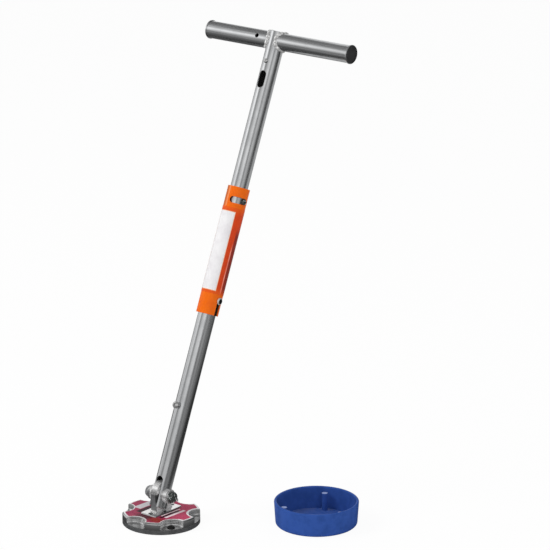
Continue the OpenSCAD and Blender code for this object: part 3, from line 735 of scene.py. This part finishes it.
def socket_screw():
    """A blackened socket screw, with a pale painted highlight ring round its rim."""
    material, tree, shader = new_material("socket_oxide", Metallic=0.6)
    vector = place(tree, POLE)["Vector"]
    marks = place(tree, HANDLING, Vector=vector, Size=200.0)
    edge = place(tree, EDGES, Radius=0.5 * mm)
    middle = to_pole @ centre_of("dog_screw")
    away = distance_from(tree, vector, (0, middle.y, middle.z), (0, 1, 1))
    rim_start, rim_full = 4.4 * mm, 5.4 * mm
    # A pale ring painted round the rim as a highlight.
    rim = spread(tree, away, rim_start, rim_full)
    colour = tint(tree, marks["Smudge"], (0.014, 0.015, 0.015), (0.03, 0.031, 0.031))
    colour = tint(tree, rim, colour, (0.8, 0.8, 0.79))
    rough = spread(tree, marks["Smudge"], 0, 1, 0.3, 0.45)
    plug_in(tree, shader, Base_Color=colour, Roughness=rough, Normal=edge["Normal"])
    return material


FINISH = {
    "pole": plated_tube("pole_zinc", False),
    "arm": plated_tube("handle_zinc", True),
    "hardware": zinc_hardware("hardware_zinc", (0.8, 0.8, 0.8), rough=(0.12, 0.24), grain=320.0,
                              metallic=0.85),
    "plate": zinc_hardware("plate_zinc", (0.9, 0.9, 0.9), rough=(0.08, 0.16), grain=180.0),
    "forged": zinc_hardware("forged_zinc", (0.7, 0.71, 0.72), rough=(0.14, 0.28), grain=240.0,
                            metallic=0.85),
    "weld": weld_metal(),
    "boss": boss_zinc(),
    "nut": zinc_hardware("nut_zinc", (0.4, 0.41, 0.42), rough=(0.2, 0.3), grain=300.0, metallic=0.8),
    "lug": lug_steel(),
    "cover": cover_plating(),
    "pot": pot_paint(),
    "foot_print": foot_print(),
    "sleeve": sleeve_paint(),
    "wrap": wrap_print(),
    "cap": cap_plastic(),
    "end_plug": end_plug(),
    # The rim plug is coloured near-black.
    "rim_black": moulded_plastic("rim_plug_black", (0.007, 0.007, 0.007), (0.013, 0.013, 0.013),
                              rough=(0.45, 0.6), wear_and_highlight=0.1),
    "black": moulded_plastic("black_plastic", (0.022, 0.022, 0.023), (0.034, 0.034, 0.035),
                             rough=(0.38, 0.52), wear_and_highlight=0.3),
    "bolt": dark_bolt(),
    "socket": socket_screw(),
    "rivet": rivet_zinc(),
}
NODE_FINISH = {
    "magnet_pot": "pot", "magnets": "hardware", "foot_cover": "cover", "foot_label": "foot_print",
    "rim_plug": "rim_black", "hinge_plate": "plate", "plate_screws": "bolt", "hinge_lug": "lug",
    "lug_welds": "weld", "lower_tube": "pole", "pivot_bosses": "boss", "pivot_bolt": "bolt",
    "pivot_nut": "nut", "pivot_washers": "hardware", "stow_stud": "hardware", "coupling_spigot": "forged",
    "lock_sleeve": "sleeve", "sleeve_label": "wrap", "dog_screw": "socket", "upper_tube": "pole",
    "guide_stud": "bolt", "left_arm": "arm", "right_arm": "arm", "left_end_plug": "end_plug",
    "right_end_plug": "end_plug", "top_bung": "black", "bung_rivet": "rivet", "magnet_cap": "cap",
}
for name, finish in NODE_FINISH.items():
    for material_slot in nodes[name].material_slots:
        material_slot.material = FINISH[finish]
NOT_MIRRORED = ("magnet_cap", "foot_label", "rim_plug")
for name in NOT_MIRRORED:
    nodes[name].visible_glossy = False


# Weld beads, built up ball by ball

arm_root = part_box("right_arm")[0].x
VOXEL_SHARE = 0.22
ARM_BLOBS = 24
ARM_BEAD = 4.9 * mm
ARM_SINK = 1.5 * mm
# The bead lies deeper towards the back of the joint, by this share of the distance
BACK_SINK = 0.14
LUG_BLOBS = 9
LUG_BEAD = 2.6 * mm


def blobs_along(path, size):
    """One piece made of overlapping balls along a path, some larger and some smaller."""
    blobs = []
    for index, point in enumerate(path):
        swell = 1 + 0.22 * math.sin(index * 2.4) + 0.1 * math.sin(index * 1.3)
        bpy.ops.mesh.primitive_uv_sphere_add(segments=12, ring_count=8, radius=size * swell, location=point)
        blobs.append(bpy.context.object)
    bpy.ops.object.select_all(action="DESELECT")
    for blob in blobs:
        blob.select_set(True)
    bpy.context.view_layer.objects.active = blobs[0]
    bpy.ops.object.join()
    bpy.ops.object.transform_apply(location=True, rotation=True, scale=True)
    return bpy.context.object


def melt_together(bead, voxel):
    """Run the balls of a bead into one skin and smooth it."""
    melt = bead.modifiers.new("melt", "REMESH")
    melt.mode = "VOXEL"
    melt.voxel_size = voxel
    bpy.ops.object.modifier_apply(modifier=melt.name)
    settle = bead.modifiers.new("settle", "SMOOTH")
    settle.iterations = 5
    bpy.ops.object.modifier_apply(modifier=settle.name)
    bpy.ops.object.shade_smooth()


def weld_bead(name, path, size, body, replaced=()):
    """A rippled weld along a path, on one body, in place of any nodes that it replaces."""
    bead = blobs_along(path, size)
    bead.name = name
    melt_together(bead, size * VOXEL_SHARE)
    bead.data.materials.clear()
    bead.data.materials.append(FINISH["weld"])
    if replaced:
        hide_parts(*replaced)
    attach(bead, body)


def cope_path(side):
    """Points round the joint of one handle arm and the pole, where their skins meet."""
    points = []
    for step in range(ARM_BLOBS):
        angle = 2 * math.pi * step / ARM_BLOBS
        y, z = tube_r * math.sin(angle), tube_r * math.cos(angle)
        x = max(abs(z), arm_root)
        skin_y = math.copysign(math.sqrt(max(tube_r ** 2 - x ** 2, 0)), y)
        y = (y + skin_y) / 2 if abs(z) < arm_root else y
        out = 1 - (ARM_SINK + BACK_SINK * max(y, 0)) / tube_r
        points.append(pole @ Vector((side * x, y * out, handle_z + z * out)))
    return points


def lug_path(count, size):
    """Points along the front and the back of the hinge lug's foot, on its plate."""
    centre = centre_of("hinge_lug")
    half_x = lug_size.x / 2 - size / 2
    points = []
    for side in (-1, 1):
        y = centre.y + side * (lug_size.y / 2 + size / 4)
        for step in range(count):
            x = centre.x + half_x * (2 * step / (count - 1) - 1)
            points.append(Vector((x, y, plate_top + size / 4)))
    return points


for side, word in ((-1, "left"), (1, "right")):
    weld_bead(f"{word}_arm_weld", cope_path(side), ARM_BEAD, "handle")
weld_bead("lug_weld", lug_path(LUG_BLOBS, LUG_BEAD), LUG_BEAD, "foot", replaced=("lug_welds",))


# The studio, in metres, with the lens and its sensor in millimetres

WALL_R = 4.0
WALL_H = 5.0
WALL_SIDES = 96
FLOOR_SIZE = 60
FLOOR_HEIGHT = -0.1 * mm
FLOOR_GLOW = 0.94
MAT_HEIGHT = 0.2 * mm
SOFT_LIGHT = 0.55
LENS_BEARING = math.radians(39)
LENS_PLACE = Vector((3.99914, -4.58622, 2.31209))
LENS_TARGET = Vector((0.16630, 0.13534, 0.48492))
LENS_LENGTH = 225.09
SENSOR_WIDTH = 36
LENS_REACH = 100
LAMP_TARGET = Vector((0, 0.1, 0.4))
HANDLE_HEIGHT = centre_of("right_arm").z

# Greys of the walls: round them in degrees from the lens, and up them in shares of their height
WALL_AROUND = [(-180, 0.15), (-112, 1.0), (-90, 1.35), (-70, 0.42), (-61, 0.36), (-36, 0.76), (-6, 0.98),
               (4, 0.72), (13, 0.28), (40, 0.9), (56, 0.8), (75, 0.25), (110, 0.1), (150, 0.12), (180, 0.15)]
WALL_UPWARD = [(0.0, 0.2), (0.08, 0.26), (0.22, 0.48), (0.34, 0.8), (0.48, 1.0), (0.63, 0.7), (0.84, 0.32),
               (1.0, 0.2)]
LEFT_BOARD = [(-155, 0.0), (-140, 0.66), (-105, 0.66), (-88, 0.0)]
BACK_BOARD = [(-180, 0.95), (-165, 0.95), (-152, 0.0), (152, 0.0), (166, 0.95), (180, 0.95)]
BACK_UPWARD = [(0.36, 1.0), (0.48, 0.0)]
# The board that the right arm mirrors, in degrees from straight behind, and the curve of its edges, in
# degrees for the square of the height in metres from the handle
ARM_BOARD = [(-30, 0.0), (-22, 0.7), (-4.0, 0.7), (-2.4, 0.0)]
ARM_UPWARD = [(0.84, 1.0), (1.0, 0.64)]
ARM_CURVE = 1.2
# Greys of the mat: outwards in shares of the walls' radius, and round it in degrees from the lens
MAT_OUTWARD = [(0.0, 0.05), (0.025, 0.06), (0.036, 0.26), (0.045, 0.26), (0.06, 0.08), (0.12, 0.03),
               (0.18, 0.036), (0.23, 0.07), (0.3, 0.11), (0.48, 0.16), (0.75, 0.28), (1.0, 0.34)]
NEAR_AROUND = [(-180, 0.45), (-160, 0.4), (-130, 0.4), (-100, 0.0), (146, 0.0), (160, 0.4), (180, 0.45)]
NEAR_OUTWARD = [(0.04, 0.0), (0.09, 1.0)]
NEAR_LEFT_EDGE = (-0.7, -0.62)
FAR_AROUND = [(88, 0.0), (104, 1.0), (170, 1.0), (177, 0.0)]
FAR_OUTWARD = [(0.32, 0.0), (0.42, 0.25), (0.55, 0.46)]
CEILING_CLOUD = [(0.3, 0.17), (0.7, 0.23)]


def seen_rays(tree):
    """1 for rays from the lens and from mirrors, and 0 for the light that falls on things."""
    rays = add(tree, "ShaderNodeLightPath").outputs
    mirrored = either(tree, rays["Is Glossy Ray"], rays["Is Transmission Ray"])
    return either(tree, rays["Is Camera Ray"], mirrored)


def stage_floor():
    """A white floor that keeps a soft shadow."""
    bpy.ops.object.select_all(action="DESELECT")
    bpy.ops.mesh.primitive_plane_add(size=FLOOR_SIZE, location=(0, 0, FLOOR_HEIGHT))
    floor = bpy.context.object
    floor.name = "studio_floor"
    material = bpy.data.materials.new("studio_floor")
    material.use_nodes = True
    tree = material.node_tree
    tree.nodes.clear()
    paint = add(tree, "ShaderNodeBsdfDiffuse", {"Color": (1, 1, 1, 1)}).outputs[0]
    glow = add(tree, "ShaderNodeEmission", {"Color": (1, 1, 1, 1), "Strength": 1.0}).outputs[0]
    share = calc(tree, "MULTIPLY", seen_rays(tree), FLOOR_GLOW)
    mixed = add(tree, "ShaderNodeMixShader", {0: share, 1: paint, 2: glow}).outputs[0]
    add(tree, "ShaderNodeOutputMaterial", {"Surface": mixed})
    floor.data.materials.append(material)


def ramp(tree, value, stops):
    """A grey ramp through stops of (place, grey), the places between 0 and 1."""
    made = add(tree, "ShaderNodeValToRGB", {"Fac": value})
    points = made.color_ramp.elements
    while len(points) < len(stops):
        points.new(1.0)
    for point, (position, grey) in zip(points, stops):
        point.position = position
        point.color = (grey, grey, grey, 1)
    return made.outputs[0]


def reflection_only(piece, name, colour_of):
    """A board of the studio that only shows in reflections, with its own glow."""
    bpy.ops.object.transform_apply(location=True, rotation=True, scale=True)
    piece.name = name
    material = bpy.data.materials.new(name)
    material.use_nodes = True
    tree = material.node_tree
    tree.nodes.clear()
    glow = add(tree, "ShaderNodeEmission", {"Color": colour_of(tree), "Strength": 1.0}).outputs[0]
    add(tree, "ShaderNodeOutputMaterial", {"Surface": glow})
    piece.data.materials.append(material)
    piece.visible_camera = False
    piece.visible_diffuse = False
    piece.visible_transmission = False
    piece.visible_shadow = False


def bearing_share(tree, parts, centre):
    """The bearing of a place in the studio as a share of a whole turn, with 0.5 at the centre bearing."""
    bearing = turn_from_front(tree, parts)
    turn = calc(tree, "WRAP", calc(tree, "SUBTRACT", bearing, centre), math.pi, -math.pi)
    return calc(tree, "ADD", calc(tree, "DIVIDE", turn, 2 * math.pi), 0.5)


def turn_ramp(tree, share, stops):
    """A grey ramp round the studio through stops of (degrees from the centre bearing, grey)."""
    return ramp(tree, share, [(degrees / 360 + 0.5, grey) for degrees, grey in stops])


def blended(tree, blend, first, second):
    made = add(tree, "ShaderNodeMix", {0: 1.0, 6: first, 7: second}, data_type="RGBA", blend_type=blend)
    return made.outputs[2]


def arm_board(tree, parts, height):
    """A high board behind the object, whose edges curve away from the handle's height."""
    lift = calc(tree, "SUBTRACT", parts["Z"], HANDLE_HEIGHT)
    curve = calc(tree, "MULTIPLY", calc(tree, "MULTIPLY", lift, lift), ARM_CURVE / 360)
    from_behind = calc(tree, "SUBTRACT", bearing_share(tree, parts, LENS_BEARING + math.pi), curve)
    return blended(tree, "MULTIPLY", turn_ramp(tree, from_behind, ARM_BOARD), ramp(tree, height, ARM_UPWARD))


def wall_colour(tree):
    """Light boards left of the lens, on both sides of it and behind the object, with dark ones between."""
    parts = parts_of(tree, object_coordinates(tree))
    height = calc(tree, "DIVIDE", parts["Z"], WALL_H)
    share = bearing_share(tree, parts, LENS_BEARING)
    back = blended(tree, "MULTIPLY", turn_ramp(tree, share, BACK_BOARD), ramp(tree, height, BACK_UPWARD))
    lit = blended(tree, "MULTIPLY", turn_ramp(tree, share, WALL_AROUND), ramp(tree, height, WALL_UPWARD))
    lit = blended(tree, "LIGHTEN", lit, turn_ramp(tree, share, LEFT_BOARD))
    lit = blended(tree, "LIGHTEN", lit, back)
    return blended(tree, "LIGHTEN", lit, arm_board(tree, parts, height))


def mat_colour(tree):
    """A dark mat with a paler ring at the foot, lighter far off and behind the object."""
    vector = object_coordinates(tree)
    parts = parts_of(tree, vector)
    distance = calc(tree, "DIVIDE", length_of(tree, vector), WALL_R)
    share = bearing_share(tree, parts, LENS_BEARING)
    near = blended(tree, "MULTIPLY", turn_ramp(tree, share, NEAR_AROUND), ramp(tree, distance, NEAR_OUTWARD))
    near = blended(tree, "MULTIPLY", near, spread(tree, parts["X"], *NEAR_LEFT_EDGE))
    far = blended(tree, "MULTIPLY", turn_ramp(tree, share, FAR_AROUND), ramp(tree, distance, FAR_OUTWARD))
    lit = blended(tree, "LIGHTEN", ramp(tree, distance, MAT_OUTWARD), near)
    return blended(tree, "LIGHTEN", lit, far)


def ceiling_colour(tree):
    return ramp(tree, noise(tree, object_coordinates(tree), 0.6, 1.0), CEILING_CLOUD)


def reflection_boards():
    """Walls, ceiling and mat that the bright metal mirrors."""
    bpy.ops.object.select_all(action="DESELECT")
    bpy.ops.mesh.primitive_cylinder_add(vertices=WALL_SIDES, radius=WALL_R, depth=WALL_H,
                                        end_fill_type="NOTHING", location=(0, 0, WALL_H / 2))
    reflection_only(bpy.context.object, "studio_walls", wall_colour)
    discs = (("studio_ceiling", WALL_H, ceiling_colour), ("studio_mat", MAT_HEIGHT, mat_colour))
    for name, height, colour_of in discs:
        bpy.ops.mesh.primitive_circle_add(vertices=WALL_SIDES, radius=WALL_R, fill_type="NGON",
                                          location=(0, 0, height))
        reflection_only(bpy.context.object, name, colour_of)


def studio_world():
    """White to the eye and to mirrors, and a plain soft light to everything else."""
    world = bpy.data.worlds.new("studio")
    bpy.context.scene.world = world
    world.use_nodes = True
    tree = world.node_tree
    tree.nodes.clear()
    strength = mix(tree, seen_rays(tree), SOFT_LIGHT, 1.0)
    background = add(tree, "ShaderNodeBackground", {"Color": (1, 1, 1, 1), "Strength": strength})
    add(tree, "ShaderNodeOutputWorld", {"Surface": background.outputs[0]})


def soft_lamp(name, size, power, location):
    """A round lamp that shines on the object and shows in no mirror."""
    bpy.ops.object.select_all(action="DESELECT")
    bpy.ops.object.light_add(type="AREA", location=location)
    lamp = bpy.context.object
    lamp.name = name
    lamp.data.shape = "DISK"
    lamp.data.size = size
    lamp.data.energy = power
    lamp.visible_glossy = False
    lamp.rotation_euler = (LAMP_TARGET - Vector(location)).to_track_quat("-Z", "Y").to_euler()


def camera():
    """The photograph's view, fitted to the tube edges, the handle, the hinge bolt and the foot."""
    bpy.ops.object.select_all(action="DESELECT")
    bpy.ops.object.camera_add(location=LENS_PLACE)
    made = bpy.context.object
    made.rotation_euler = (LENS_TARGET - LENS_PLACE).to_track_quat("-Z", "Y").to_euler()
    made.data.lens = LENS_LENGTH
    made.data.sensor_width = SENSOR_WIDTH
    made.data.clip_end = LENS_REACH
    bpy.context.scene.camera = made


camera()
stage_floor()
reflection_boards()
studio_world()
soft_lamp("key_lamp", size=2.2, power=90, location=(-2.2, -2.6, 3.2))
soft_lamp("fill_lamp", size=3.0, power=35, location=(3.4, -1.5, 2.4))
bpy.context.scene.view_settings.view_transform = "Standard"
